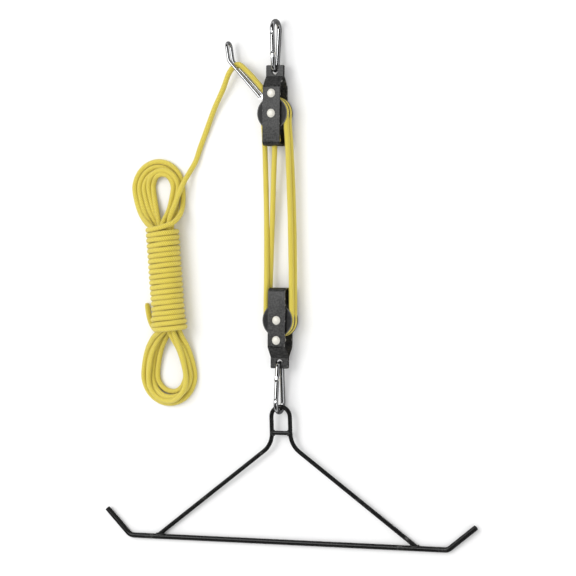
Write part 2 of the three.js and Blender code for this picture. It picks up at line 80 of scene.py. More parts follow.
# Rope and its run through the blocks.
ROPE_RADIUS = 0.004
ROPE_SIDES = 14
ROPE_STEP = 0.0022
STRAIGHT_END = 0.003
FALL_LEAD = 0.010
FALL_DIP = 0.003
LEAD_TURN = math.radians(45.5)
LEAD_LENGTH = 0.016
LEAD_DIRECTION = Vector((-math.cos(LEAD_TURN), math.sin(LEAD_TURN), -0.12)).normalized()

# Spare rope: the stretch from the block to the hank, and the hank.
HANK_CENTRE = SOURCE_ORIGIN + Vector((-0.200, 0.009, 0))
HANK_TURN = math.radians(3.7)
BUNDLE_MIDDLE = 0.0063
BUNDLE_LEAN = -0.026
WRAPS = 19
WRAPS_TOP = 0.0785
WRAPS_BOTTOM = -0.0740
WRAP_HEIGHT = 0.0209
WRAP_END_RADIUS = 0.0170
WRAP_HALF_STRAIGHT = 0.0054
LOOSE_WRAPS = 2
LOOSENESS = 0.0022
WRAP_STRAY = 0.0003


# ---------------------------------------------------------------- camera

CAMERA_DISTANCE = 3.5
CAMERA_AZIMUTH = 0.43455
CAMERA_RISE = 0.02349
CAMERA_ROLL = 0.00975
CAMERA_LENS = 146.26
CAMERA_TARGET = SOURCE_ORIGIN + Vector((0.00158, 0.00111, 0))


def make_camera():
    """Looks down at the table from its right, at the photo's angle, from far off through a long lens."""
    back = Vector(
        (
            math.sin(CAMERA_AZIMUTH) * math.cos(CAMERA_RISE),
            math.sin(CAMERA_RISE),
            math.cos(CAMERA_AZIMUTH) * math.cos(CAMERA_RISE),
        )
    )
    level = Vector((0, 1, 0)).cross(back).normalized()
    upright = back.cross(level)
    right = level * math.cos(CAMERA_ROLL) + upright * math.sin(CAMERA_ROLL)
    up = back.cross(right)
    data = bpy.data.cameras.new("camera")
    data.lens = CAMERA_LENS
    data.sensor_width = 36
    data.clip_end = 50
    camera = bpy.data.objects.new("camera", data)
    bpy.context.scene.collection.objects.link(camera)
    turned = Matrix((right, up, back)).transposed().to_4x4()
    camera.matrix_world = Matrix.Translation(CAMERA_TARGET + back * CAMERA_DISTANCE) @ turned
    bpy.context.scene.camera = camera


make_camera()


# ---------------------------------------------------------------- paths and tubes

# Points worked out between two of a path's own, before they are spread evenly.
CURVE_STEPS = 20


def evenly(points, step):
    """The same path with points about a step apart."""
    lengths = np.linalg.norm(np.diff(points, axis=0), axis=1)
    along = np.concatenate([[0], np.cumsum(lengths)])
    stations = np.linspace(0, along[-1], max(2, round(along[-1] / step) + 1))
    return np.stack([np.interp(stations, along, points[:, k]) for k in range(3)], axis=1)


def blended(a, b, start, end, t):
    """a at start and b at end, on the straight line between and beyond them."""
    return ((end - t) * a + (t - start) * b) / (end - start)


def smooth_path(points):
    """A centripetal Catmull-Rom curve through the points."""
    p = np.array([tuple(q) for q in points], float)
    p = np.vstack([2 * p[0] - p[1], p, 2 * p[-1] - p[-2]])
    gaps = np.sqrt(np.linalg.norm(np.diff(p, axis=0), axis=1))
    knots = np.concatenate([[0], np.cumsum(gaps)])
    runs = []
    for i in range(1, len(p) - 2):
        t = np.linspace(knots[i], knots[i + 1], CURVE_STEPS, endpoint=False)[:, None]
        k0, k1, k2, k3 = knots[i - 1 : i + 3]
        first = blended(p[i - 1], p[i], k0, k1, t)
        second = blended(p[i], p[i + 1], k1, k2, t)
        third = blended(p[i + 1], p[i + 2], k2, k3, t)
        before = blended(first, second, k0, k2, t)
        after = blended(second, third, k1, k3, t)
        runs.append(blended(before, after, k1, k2, t))
    return evenly(np.vstack([*runs, p[-2:-1]]), ROPE_STEP)


def turn(centre, start, angle, steps):
    """Points of a turn about +Z, both ends included."""
    arm = start - centre
    return [centre + Matrix.Rotation(angle * i / steps, 3, "Z") @ arm for i in range(steps + 1)]


def tube_rings(line, radii, sides):
    """Rings of points round a line, without twist."""
    tangents = np.gradient(line, axis=0)
    tangents /= np.linalg.norm(tangents, axis=1)[:, None]
    off_axis = (0.31, 0.17, 0.93)
    normal = np.cross(tangents[0], off_axis)
    angles = np.arange(sides) * 2 * math.pi / sides
    rings = []
    for place, tangent, radius in zip(line, tangents, radii):
        normal = normal - tangent * (normal @ tangent)
        normal /= np.linalg.norm(normal)
        across = np.cross(tangent, normal)
        rings.append(place + radius * (np.outer(np.cos(angles), normal) + np.outer(np.sin(angles), across)))
    return np.array(rings)


def tube_piece(name, line, radii, sides, material, closed=False):
    """A round tube along a line. Its UV map goes once round it, and runs along it in metres."""
    rings = tube_rings(line, radii, sides)
    count = len(rings)
    lengths = np.linalg.norm(np.diff(line, axis=0), axis=1)
    along = np.concatenate([[0], np.cumsum(lengths), [lengths.sum() + lengths[0]]])
    faces, places = [], []
    for i in range(count if closed else count - 1):
        ahead = (i + 1) % count
        for k in range(sides):
            beside = (k + 1) % sides
            faces.append([i * sides + k, i * sides + beside, ahead * sides + beside, ahead * sides + k])
            corners = [(k, i), (k + 1, i), (k + 1, i + 1), (k, i + 1)]
            places.extend((around / sides, along[ring]) for around, ring in corners)
    if not closed:
        for ring, order in ((0, -1), (count - 1, 1)):
            faces.append([ring * sides + k for k in range(sides)][::order])
            places.extend([(0.5, along[ring])] * sides)
    mesh = bpy.data.meshes.new(name)
    mesh.from_pydata(rings.reshape(-1, 3).tolist(), [], faces)
    mesh.uv_layers.new(name="around_along").data.foreach_set("uv", np.array(places).ravel())
    mesh.polygons.foreach_set("use_smooth", [True] * len(faces))
    mesh.materials.append(material)
    made = bpy.data.objects.new(name, mesh)
    bpy.context.scene.collection.objects.link(made)
    return made


def rope_piece(name, line, material, cut_ends=(False, False), radius=ROPE_RADIUS):
    """A length of rope, a little uneven, a cut end being rounded where it was melted."""
    along = np.arange(len(line)) * ROPE_STEP
    # two slow waves that don't repeat together, each about 1 % of the radius
    radii = radius * (1 + 0.012 * np.sin(along * 190) + 0.010 * np.sin(along * 71 + 1))
    # how wide the last two rings are at a melted end
    melted = (0.55, 0.86)
    for end, step, is_cut in zip((0, -1), (1, -1), cut_ends):
        if is_cut:
            for i, share in enumerate(melted):
                radii[end + i * step] *= share
    return tube_piece(name, line, radii, ROPE_SIDES, material)


# ---------------------------------------------------------------- materials


def join(tree, value, socket):
    """Links the value into the socket if it is another node's output, and sets it there if not."""
    if isinstance(value, bpy.types.NodeSocket):
        tree.links.new(value, socket)
    else:
        socket.default_value = value


def mixed_colour(tree, share, first, second):
    """The first colour where share is 0, and the second where it is 1."""
    node = tree.nodes.new("ShaderNodeMix")
    node.data_type = "RGBA"
    # a Mix node's two colours are its inputs 6 and 7, and their blend is its output 2
    for value, number in ((share, 0), (first, 6), (second, 7)):
        join(tree, value, node.inputs[number])
    return node.outputs[2]


class Finish:
    """A material and its node tree, with short calls to add nodes."""

    def __init__(self, name, metallic=0.0, **constants):
        self.material = bpy.data.materials.new(name)
        self.material.use_nodes = True
        self.tree = self.material.node_tree
        self.shader = self.tree.nodes["Principled BSDF"]
        self.shader.inputs["Metallic"].default_value = metallic
        for socket, value in constants.items():
            self.shader.inputs[socket.replace("_", " ")].default_value = value
        self.place = self.add("ShaderNodeTexCoord").outputs["Object"]

    def add(self, kind, inputs=None, **settings):
        made = self.tree.nodes.new(kind)
        for name, value in settings.items():
            setattr(made, name, value)
        for name, value in (inputs or {}).items():
            join(self.tree, value, made.inputs[name])
        return made

    def maths(self, operation, first, second=0.0):
        return self.add("ShaderNodeMath", {0: first, 1: second}, operation=operation).outputs[0]

    def noise(self, size, detail=3.0, stretch=(1, 1, 1)):
        """Noise with features of about this size in metres."""
        mapped = self.add("ShaderNodeMapping", {"Vector": self.place, "Scale": stretch}).outputs[0]
        inputs = {"Vector": mapped, "Scale": 1 / size, "Detail": detail}
        return self.add("ShaderNodeTexNoise", inputs).outputs[0]

    def ranged(self, value, low, high, to_low=0.0, to_high=1.0):
        """The value's run from low to high, eased and stretched to run from to_low to to_high."""
        inputs = {"Value": value, "From Min": low, "From Max": high, "To Min": to_low, "To Max": to_high}
        return self.add("ShaderNodeMapRange", inputs, interpolation_type="SMOOTHSTEP").outputs[0]

    def mixed(self, share, first, second):
        """The first colour where share is 0, and the second where it is 1."""
        return mixed_colour(self.tree, share, first, second)

    def bump(self, height, depth):
        """Relief in the shading only, this many metres deep."""
        inputs = {"Height": height, "Distance": depth, "Strength": 1.0}
        join(self.tree, self.add("ShaderNodeBump", inputs).outputs[0], self.shader.inputs["Normal"])

    def finish(self, colour, roughness):
        join(self.tree, colour, self.shader.inputs["Base Color"])
        join(self.tree, roughness, self.shader.inputs["Roughness"])
        return self.material


def shade(value, tint=(1, 1, 1)):
    return (value * tint[0], value * tint[1], value * tint[2], 1)


def block_paint(name, axle):
    """Satin black paint, rubbed through to steel here and there along the strip's two long edges."""
    paint = Finish(name, 0.0, Specular_IOR_Level=0.5)
    sides = paint.add("ShaderNodeSeparateXYZ", {"Vector": paint.place}).outputs["X"]
    from_middle = paint.maths("ABSOLUTE", paint.maths("SUBTRACT", sides, axle.x))
    edge = paint.ranged(from_middle, STRAP_WIDTH / 2 - 0.0012, STRAP_WIDTH / 2 + 0.0001)
    chips = paint.ranged(paint.noise(0.004, 4), 0.56, 0.66)
    worn = paint.maths("MULTIPLY", edge, chips)
    mottle = paint.noise(0.02, 4)
    grain = paint.noise(0.0024, 4)
    coat = paint.mixed(paint.ranged(grain, 0.40, 0.62), shade(0.004), shade(0.036, (1, 1, 0.96)))
    colour = paint.mixed(worn, coat, shade(0.32, (1, 0.97, 0.93)))
    satin = paint.ranged(mottle, 0.3, 0.7, 0.22, 0.30)
    roughness = paint.maths("ADD", satin, paint.maths("MULTIPLY", grain, 0.25))
    paint.bump(paint.maths("SUBTRACT", grain, paint.maths("MULTIPLY", worn, 0.8)), 0.00030)
    return paint.finish(colour, roughness)


def zinc_plate():
    zinc = Finish("zinc_plate", 0.30)
    spangle = zinc.noise(0.0035, 3)
    grain = zinc.noise(0.0005, 2)
    colour = zinc.mixed(spangle, shade(0.86, (1, 0.985, 0.90)), shade(0.72, (1, 0.96, 0.86)))
    zinc.bump(grain, 0.00003)
    return zinc.finish(colour, zinc.ranged(spangle, 0.25, 0.75, 0.40, 0.55))


def chrome_plate():
    chrome = Finish("chrome_plate", 1.0)
    smears = chrome.noise(0.012, 4)
    scratches = chrome.noise(0.0012, 2, (1, 0.12, 1))
    colour = chrome.mixed(smears, shade(0.66, (0.98, 0.99, 1)), shade(0.52, (0.97, 0.98, 1)))
    scratched = chrome.maths("MULTIPLY", chrome.ranged(scratches, 0.55, 0.75), 0.12)
    roughness = chrome.maths("ADD", chrome.ranged(smears, 0.35, 0.7, 0.05, 0.13), scratched)
    chrome.bump(chrome.noise(0.006, 2), 0.00004)
    return chrome.finish(colour, roughness)


def spring_wire(name, centre, pitch=0.0009):
    """Drawn wire, its coils shown as ridges along Y, with painted shade in the grooves between them."""
    wire = Finish(name, 1.0)
    along = wire.add("ShaderNodeSeparateXYZ", {"Vector": wire.place}).outputs["Y"]
    phase = wire.maths("MULTIPLY", wire.maths("SUBTRACT", along, centre.y), 2 * math.pi / pitch)
    ridge = wire.maths("SINE", phase)
    # painted shade: the grooves between the coils are dark, the crests pale
    colour = wire.mixed(wire.ranged(ridge, -1, 0.2), shade(0.06), shade(0.5, (1, 0.98, 0.95)))
    wire.bump(ridge, 0.0003)
    return wire.finish(colour, wire.ranged(wire.noise(0.002), 0.3, 0.7, 0.3, 0.45))


def sheave_nylon(name, centre, radius):
    """Moulded dark nylon with fine rings round its hub, dust, and a rim made paler by a painted highlight."""
    nylon = Finish(name, 0.0, Specular_IOR_Level=0.3)
    from_hub = {0: nylon.place, 1: tuple(centre)}
    arm = nylon.add("ShaderNodeVectorMath", from_hub, operation="SUBTRACT").outputs[0]
    flat = nylon.add("ShaderNodeVectorMath", {0: arm, 1: (1, 1, 0)}, operation="MULTIPLY").outputs[0]
    out = nylon.add("ShaderNodeVectorMath", {0: flat}, operation="LENGTH").outputs["Value"]
    ring_pitch = 0.0011
    rings = nylon.maths("SINE", nylon.maths("MULTIPLY", out, 2 * math.pi / ring_pitch))
    dust = nylon.ranged(nylon.noise(0.005, 5), 0.45, 0.75)
    # painted highlight: the rim is made paler where its flanks would catch the light
    paler_mask = nylon.maths("MULTIPLY", nylon.ranged(out, radius - 0.0022, radius - 0.0006), 0.8)
    moulded = nylon.mixed(dust, shade(0.008), shade(0.030, (1, 0.97, 0.93)))
    colour = nylon.mixed(paler_mask, moulded, shade(0.13, (1, 0.99, 0.96)))
    nylon.bump(nylon.maths("ADD", rings, nylon.noise(0.0006, 2)), 0.00003)
    return nylon.finish(colour, nylon.ranged(dust, 0, 1, 0.38, 0.6))


def bar_enamel():
    """Black enamel with a faint orange peel, rubbed grey in a few places."""
    enamel = Finish("bar_enamel", 0.0, Specular_IOR_Level=0.35, Coat_Weight=0.12, Coat_Roughness=0.12)
    peel = enamel.noise(0.0022, 2)
    paler_mask = enamel.ranged(enamel.noise(0.03, 5), 0.58, 0.72)
    specks = enamel.maths("MULTIPLY", paler_mask, enamel.ranged(enamel.noise(0.0016, 3), 0.52, 0.62))
    colour = enamel.mixed(specks, shade(0.005), shade(0.14, (1, 0.97, 0.94)))
    enamel.bump(peel, 0.00008)
    satin = enamel.ranged(peel, 0.3, 0.7, 0.24, 0.34)
    return enamel.finish(colour, enamel.maths("ADD", satin, enamel.maths("MULTIPLY", paler_mask, 0.15)))


CLEAN_YELLOW = (0.90, 0.765, 0.125, 1)
HANDLED_YELLOW = (0.80, 0.65, 0.075, 1)
# painted shade for the troughs between the strands
SHADE_BETWEEN_STRANDS = (0.44, 0.34, 0.035, 1)


def braided_rope():
    """Yellow braid: two families of strands that cross, with a soft sheen, and painted shade between the strands.
    """
    rope = Finish("braided_rope", 0.0, Sheen_Weight=0.25, Sheen_Roughness=0.5, Specular_IOR_Level=0.35)
    strands = 5
    pitch = 0.0125
    uv = rope.add("ShaderNodeUVMap", uv_map="around_along").outputs[0]
    split = rope.add("ShaderNodeSeparateXYZ", {"Vector": uv})
    around = rope.maths("MULTIPLY", split.outputs["X"], strands)
    along = rope.maths("MULTIPLY", split.outputs["Y"], strands / pitch)
    ridges = []
    for operation in ("ADD", "SUBTRACT"):
        phase = rope.maths("MULTIPLY", rope.maths(operation, around, along), math.pi)
        ridges.append(rope.maths("ABSOLUTE", rope.maths("SINE", phase)))
    plait = rope.maths("POWER", rope.maths("MULTIPLY", *ridges), 0.6)
    fibres = rope.noise(0.0006, 3)
    stains = rope.noise(0.05, 3)
    bright = rope.mixed(stains, CLEAN_YELLOW, HANDLED_YELLOW)
    # painted shade: the troughs between the strands are darkened as if in shadow
    colour = rope.mixed(rope.ranged(plait, 0.10, 0.80), SHADE_BETWEEN_STRANDS, bright)
    rope.bump(rope.maths("ADD", plait, rope.maths("MULTIPLY", fibres, 0.25)), 0.0006)
    return rope.finish(colour, rope.ranged(plait, 0, 1, 0.75, 0.5))


def weld_metal():
    weld = Finish("weld_metal", 0.0, Coat_Weight=0.25, Coat_Roughness=0.2)
    scale = weld.noise(0.0015, 4)
    weld.bump(scale, 0.00025)
    colour = weld.mixed(scale, shade(0.010), shade(0.035))
    return weld.finish(colour, weld.ranged(scale, 0.3, 0.7, 0.3, 0.5))


ROPE = braided_rope()


# ---------------------------------------------------------------- rope in the blocks


def ride_rope(piece, body, *nodes):
    """The piece stands for these CAD nodes and rides on the body."""
    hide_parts(*nodes)
    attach(piece, body)
    return piece


def sheave_side(axle, side, layer, drop=0.0):
    """Where the rope meets a sheave: side is -1 for left, layer is -1 for the back sheave."""
    return axle + Vector((side * PITCH_RADIUS, drop, layer * SHEAVE_OFFSET))


def half_turn(node, axle, layer, side, body):
    """Half way round a sheave: over it where side is 1, and under it where side is -1."""
    centre = axle + Vector((0, 0, layer * SHEAVE_OFFSET))
    arc = turn(centre, sheave_side(axle, 1, layer), side * math.pi, 24)
    ends = [sheave_side(axle, end, layer, -side * STRAIGHT_END) for end in (1, -1)]
    line = evenly(np.array([ends[0], *arc, ends[1]]), ROPE_STEP)
    ride_rope(rope_piece(f"braid_{node}", line, ROPE), body, node)


def fall(node, top, bottom, sway):
    """A fall between the blocks. It lies a little off the straight."""
    run = bottom - top
    lead = Vector((0, -FALL_LEAD, 0))
    points = [top, top + lead]
    for share in (0.15, 0.3, 0.45, 0.6, 0.75, 0.88):
        bow = math.sin(math.pi * share)
        points.append(top + run * share + Vector((sway, 0, -FALL_DIP)) * bow)
    points += [bottom - lead, bottom]
    piece = ride_rope(rope_piece(f"braid_{node}", smooth_path(points), ROPE), "upper_block", node)
    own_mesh(piece)


def reeve_blocks():
    half_turn("rope_turn_upper_back", UPPER_AXLE, -1, 1, "upper_block")
    half_turn("rope_turn_lower_back", LOWER_AXLE, -1, -1, "lower_block")
    half_turn("rope_turn_lower_front", LOWER_AXLE, 1, -1, "lower_block")

    def upper(side, layer):
        return sheave_side(UPPER_AXLE, side, layer, -STRAIGHT_END)

    def lower(side, layer):
        return sheave_side(LOWER_AXLE, side, layer, STRAIGHT_END)

    crown = UPPER_AXLE + Vector((0, CROWN_FACE + STRAP_THICKNESS, 0))
    fall("rope_fall_standing", crown, lower(-1, -1), -0.0012)
    fall("rope_fall_right_back", upper(1, -1), lower(1, -1), 0.0016)
    fall("rope_fall_left", upper(-1, -1), lower(-1, 1), 0.0014)
    fall("rope_fall_right_front", upper(1, 1), lower(1, 1), 0.0008)


def hauling_turn():
    """Over the front sheave, under the tab rivet and out beside the lever. Returns where it ends."""
    centre = UPPER_AXLE + Vector((0, 0, SHEAVE_OFFSET))
    start = sheave_side(UPPER_AXLE, 1, 1)
    over = turn(centre, start, math.pi / 2, 12)
    under = turn(UPPER_PIN + Vector((0, 0, SHEAVE_OFFSET)), over[-1], -LEAD_TURN, 8)
    end = under[-1] + LEAD_DIRECTION * LEAD_LENGTH
    stations = [start - Vector((0, STRAIGHT_END, 0)), *over, *under[1:], end]
    line = evenly(np.array([tuple(p) for p in stations]), ROPE_STEP)
    ride_rope(rope_piece("braid_rope_hauling_turn", line, ROPE), "upper_block", "rope_hauling_turn")
    return end


def standing_knot():
    """A tight overhand knot, too thick to pass the crown's hole: a trefoil, cut open between its two ends."""
    centre = middle("rope_standing_knot")
    size = 0.0026
    gap = 0.25
    t = np.linspace(gap, 2 * math.pi - gap, 90)
    across = np.sin(t) + 2 * np.sin(2 * t)
    along = -1.3 * np.sin(3 * t)
    up = np.cos(t) - 2 * np.cos(2 * t)
    knot = np.stack([across, along, up], axis=1)
    line = evenly(knot * size + np.array(centre), ROPE_STEP)
    piece = rope_piece("braid_rope_standing_knot", line, ROPE, (True, True), 0.9 * ROPE_RADIUS)
    ride_rope(piece, "upper_block", "rope_standing_knot")


# ---------------------------------------------------------------- tail and hank


def tail_points(start):
    """Through the lever's loop, down to the table and along it to the hank."""
    by_hand = [
        (-0.061, 0.3245, 0.0176),
        (-0.077, 0.3355, 0.0169),
        (-0.091, 0.325, 0.0152),
        (-0.1045, 0.299, 0.011),
        (-0.1208, 0.270, 0.007),
        (-0.134, 0.240, 0.0046),
        (-0.145, 0.213, 0.0042),
        (-0.153, 0.190, 0.0055),
    ]
    placed = [SOURCE_ORIGIN + Vector(p) for p in by_hand]
    return [start + LEAD_DIRECTION * 0.0003, start + LEAD_DIRECTION * 0.012, *placed]


# A hank's own axes: u across, v along towards the hoist's top, w up from the table.
# The ten runs inside the wraps lie in three rows. A slot is how far a run is from the middle, and its height.
SLOTS = {
    "low_left": (-0.0083, 0.0130),
    "low_centre": (0.0, 0.0130),
    "low_right": (0.0083, 0.0130),
    "mid_far_left": (-0.01245, 0.0200),
    "mid_left": (-0.00415, 0.0200),
    "mid_right": (0.00415, 0.0200),
    "mid_far_right": (0.01245, 0.0200),
    "high_left": (-0.0083, 0.0270),
    "high_centre": (0.0, 0.0270),
    "high_right": (0.0083, 0.0270),
}
ON_TABLE = 0.0042
SECOND_LAYER = 0.0113
THIRD_LAYER = 0.0184
ARC_V = {1: 0.1410, -1: -0.1440}
MOUTH_V = {1: 0.0745, -1: -0.0705}
ARC_STEPS = 8
FAN_OUT = 0.16
RUN_STRAY = 0.0006
# An arc whose end is this far out from its slot belongs to an outer run. It is wholly one OUTER_OVER further.
OUTER_FROM = 0.022
OUTER_OVER = 0.015

# Each end loop: the slot it leaves, u and w where its arc begins, the slot it joins, u and w where its arc
# ends, how far its arc is moved along v, and the part of the arc over which its height changes.
BOTTOM_LOOPS = [
    ("high_right", 0.0312, THIRD_LAYER, "mid_left", -0.0370, SECOND_LAYER, -0.006, (0.2, 0.6)),
    ("high_centre", 0.0272, SECOND_LAYER, "low_centre", -0.0247, ON_TABLE, 0.0, (0.1, 0.6)),
    ("mid_right", 0.0353, SECOND_LAYER, "low_left", -0.0328, ON_TABLE, 0.0, (0.6, 1.0)),
    ("low_right", 0.0312, ON_TABLE, "mid_far_left", -0.0409, ON_TABLE, 0.0, (0.0, 1.0)),
    ("mid_far_right", 0.0393, ON_TABLE, "high_left", -0.0490, ON_TABLE, 0.0, (0.0, 1.0)),
]
TOP_LOOPS = [
    ("mid_left", -0.0165, ON_TABLE, "high_centre", 0.0220, SECOND_LAYER, 0.002, (0.1, 0.45)),
    ("low_centre", -0.0245, ON_TABLE, "mid_right", 0.0300, SECOND_LAYER, 0.0, (0.0, 0.35)),
    ("low_left", -0.0326, ON_TABLE, "low_right", 0.0179, ON_TABLE, 0.0, (0.0, 1.0)),
    ("mid_far_left", -0.0407, ON_TABLE, "mid_far_right", 0.0258, ON_TABLE, 0.0, (0.0, 1.0)),
]
LAST_TOP_LOOP = ("high_left", -0.0488, ON_TABLE, "high_right", 0.0338, ON_TABLE, 0.0, (0.0, 1.0))

TAIL_ARRIVES = [
    (0.0490, 0.1626, 0.0075),
    (0.0420, 0.1490, 0.0130),
    (0.0354, 0.1325, 0.0185),
    (0.0275, 0.1120, 0.0225),
    (0.0205, 0.0940, 0.0252),
]
ONTO_WRAPS = [
    (0.0345, 0.1230, 0.0055),
    (0.0345, 0.1080, 0.0105),
    (0.0328, 0.0965, 0.0185),
    (0.0278, 0.0875, 0.0275),
    (0.0175, 0.0825, 0.0355),
]
FREE_END = [
    (-0.0188, -0.0752, 0.0126),
    (-0.0252, -0.0726, 0.0070),
    (-0.0312, -0.0650, 0.0044),
    (-0.0345, -0.0545, 0.0042),
    (-0.0362, -0.0437, 0.0042),
    (-0.0373, -0.0330, 0.0042),
]


def bundle_middle(v):
    """The wrapped bundle's own middle line, which leans a little."""
    return BUNDLE_MIDDLE + BUNDLE_LEAN * v


def slot_point(slot, v):
    """Where a run is at v: the runs fan out towards the wraps' two mouths."""
    across, height = SLOTS[slot]
    widened = 1 + FAN_OUT * (v / WRAPS_TOP) ** 4
    stray = RUN_STRAY * math.sin(v * 60 + across * 400)
    return (bundle_middle(v) + across * widened + stray, v, height)


def clamped(share):
    return min(1.0, max(0.0, share))


def eased(share):
    share = clamped(share)
    return share * share * (3 - 2 * share)


def spread_points(slot, arc_end, end):
    """From a slot at the wraps' mouth out to where an arc begins; end is 1 for the top loops.

    An outer run turns out early, so that it passes outside its neighbours.
    """
    mouth = slot_point(slot, MOUTH_V[end])
    outermost = clamped((abs(arc_end[0] - mouth[0]) - OUTER_FROM) / OUTER_OVER)
    shares = (
        (0.0, 0.0, 0.0),
        (0.23 + 0.17 * outermost, 0.22, 0.28),
        (0.62 + 0.14 * outermost, 0.49, 0.72),
    )
    return [tuple(m + (a - m) * s for m, a, s in zip(mouth, arc_end, share)) for share in shares]


def arc_points(loop, end):
    """An end loop's half circle."""
    _, first_u, first_w, _, last_u, last_w, shift, (change_from, change_to) = loop
    middle_u, half = (first_u + last_u) / 2, (first_u - last_u) / 2
    points = []
    for i in range(ARC_STEPS + 1):
        share = i / ARC_STEPS
        angle = math.pi * share
        height = first_w + (last_w - first_w) * eased((share - change_from) / (change_to - change_from))
        v = ARC_V[end] + shift + end * abs(half) * math.sin(angle)
        points.append((middle_u + half * math.cos(angle), v, height))
    return points


def loop_points(loop, end):
    """An end loop, from the slot it leaves to the slot it joins."""
    arc = arc_points(loop, end)
    return spread_points(loop[0], arc[0], end) + arc + spread_points(loop[3], arc[-1], end)[::-1]


def run_points(slot, downwards):
    """A run inside the wraps."""
    points = [slot_point(slot, v) for v in (0.045, 0.005, -0.035)]
    return points if downwards else points[::-1]


def wrap_points():
    """Down the bundle in close turns, each a stretched circle, the last ones looser."""
    rng = np.random.default_rng(4)
    left_angles = np.radians(range(90, 271, 30))
    right_angles = left_angles + math.pi
    corners = [(-1, angle) for angle in left_angles] + [(1, angle) for angle in right_angles]
    points = []
    for i in range(WRAPS):
        loose = LOOSENESS if i >= WRAPS - LOOSE_WRAPS else 0.0
        stray = rng.uniform(-WRAP_STRAY, WRAP_STRAY)
        for k, (side, angle) in enumerate(corners):
            done = (i + k / len(corners)) / WRAPS
            v = WRAPS_TOP + (WRAPS_BOTTOM - WRAPS_TOP) * done
            u = bundle_middle(v) + side * (WRAP_HALF_STRAIGHT + loose) + WRAP_END_RADIUS * math.cos(angle)
            points.append((u, v + stray, WRAP_HEIGHT + WRAP_END_RADIUS * math.sin(angle)))
    left_centre = bundle_middle(WRAPS_BOTTOM) - WRAP_HALF_STRAIGHT
    for angle in left_angles[:3]:
        u = left_centre + WRAP_END_RADIUS * math.cos(angle)
        points.append((u, WRAPS_BOTTOM, WRAP_HEIGHT + WRAP_END_RADIUS * math.sin(angle)))
    points.append((left_centre - WRAP_END_RADIUS, WRAPS_BOTTOM - 0.001, WRAP_HEIGHT))
    return points


def hank_points():
    """The whole hank in its own axes: runs and end loops, then the wraps, then the free end."""
    points = list(TAIL_ARRIVES)
    for bottom, top in zip(BOTTOM_LOOPS, [*TOP_LOOPS, None]):
        points += run_points(bottom[0], True) + loop_points(bottom, -1) + run_points(bottom[3], False)
        if top:
            points += loop_points(top, 1)
    last_arc = arc_points(LAST_TOP_LOOP, 1)
    points += spread_points(LAST_TOP_LOOP[0], last_arc[0], 1) + last_arc
    return points + ONTO_WRAPS + wrap_points() + FREE_END


def spare_rope(start):
    turned = Matrix.Rotation(HANK_TURN, 3, "Z")
    placed = [HANK_CENTRE + turned @ Vector(p) for p in hank_points()]
    line = smooth_path(tail_points(start) + placed)
    above_table = ROPE_RADIUS + 0.0001
    line[:, 2] = np.maximum(line[:, 2], above_table)
    piece = rope_piece("spare_rope", line, ROPE, (False, True))
    ride_rope(piece, "upper_block", "rope_tail", "rope_hank")


spare_rope(hauling_turn())
reeve_blocks()
standing_knot()


# ---------------------------------------------------------------- weld beads on the gambrel

LOOP_ROD = 0.003175
BAR_ROD = 0.004
LOOP_BEND = 0.0152
CROSSBAR_Y = -0.0394
BAR_Y = -0.204
LEG_FOOT_X = 0.216
LEG_FALL = math.radians(36.2)
GAMBREL_TURN = math.radians(1.2)
BEAD_RADIUS = 0.0011
BEAD_RIPPLES = 14
BEAD_STEPS = 48
BEAD_SIDES = 8
# A bead's middle line lies this far outside both rods.
BEAD_STAND_OFF = 0.0004


def gambrel_place():
    """From the gambrel's own axes, as in the part's source, to where it lies."""
    arc_centre = Vector(JOINTS["gambrel_swing"]["pos_m"])
    tilt = math.asin((arc_centre.z - BAR_ROD) / -BAR_Y)
    placed = Matrix.Translation(arc_centre + Vector((0, LOOP_BEND, 0)))
    return placed @ Matrix.Rotation(GAMBREL_TURN, 4, "Z") @ Matrix.Rotation(tilt, 4, "X")


def weld_bead(name, foot, along, rod, across, other_rod, material):
    """A rippled bead where a rod's end meets another rod's side.

    The foot is on both rods' middle lines. Each point of the first rod's rim is moved along that rod until it
    lies on the other rod.
    """
    along, across = along.normalized(), across.normalized()
    first = along.orthogonal().normalized()
    second = along.cross(first)
    reach = other_rod + BEAD_STAND_OFF
    angles = [2 * math.pi * i / BEAD_STEPS for i in range(BEAD_STEPS)]
    line = []
    for angle in angles:
        rim = (first * math.cos(angle) + second * math.sin(angle)) * (rod + BEAD_STAND_OFF)
        flat = rim - across * rim.dot(across)
        lift = along - across * along.dot(across)
        a, b, c = lift.dot(lift), 2 * flat.dot(lift), flat.dot(flat) - reach * reach
        distance = (-b + math.sqrt(max(0.0, b * b - 4 * a * c))) / (2 * a)
        line.append(foot + rim + along * distance)
    radii = [BEAD_RADIUS * (1 + 0.22 * math.sin(BEAD_RIPPLES * angle)) for angle in angles]
    place = gambrel_place()
    placed = np.array([tuple(place @ p) for p in line])
    placed[:, 2] = np.maximum(placed[:, 2], max(radii))
    piece = tube_piece(name, placed, radii, BEAD_SIDES, material, closed=True)
    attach(piece, "gambrel")


def weld_gambrel():
    weld = weld_metal()
    for side, word in ((-1, "left"), (1, "right")):
        leg = Vector((-side * math.cos(LEG_FALL), math.sin(LEG_FALL), 0))
        foot = Vector((side * LEG_FOOT_X, BAR_Y, 0))
        weld_bead(f"weld_bar_{word}", foot, leg, LOOP_ROD, Vector((1, 0, 0)), BAR_ROD, weld)
        joint = Vector((side * LOOP_BEND, CROSSBAR_Y, 0))
        inward = Vector((-side, 0, 0))
        weld_bead(f"weld_crossbar_{word}", joint, inward, LOOP_ROD, Vector((0, 1, 0)), LOOP_ROD, weld)


weld_gambrel()


# ---------------------------------------------------------------- finishes on the CAD parts

CREASE = math.radians(38)
SAME_POINT = 0.000005


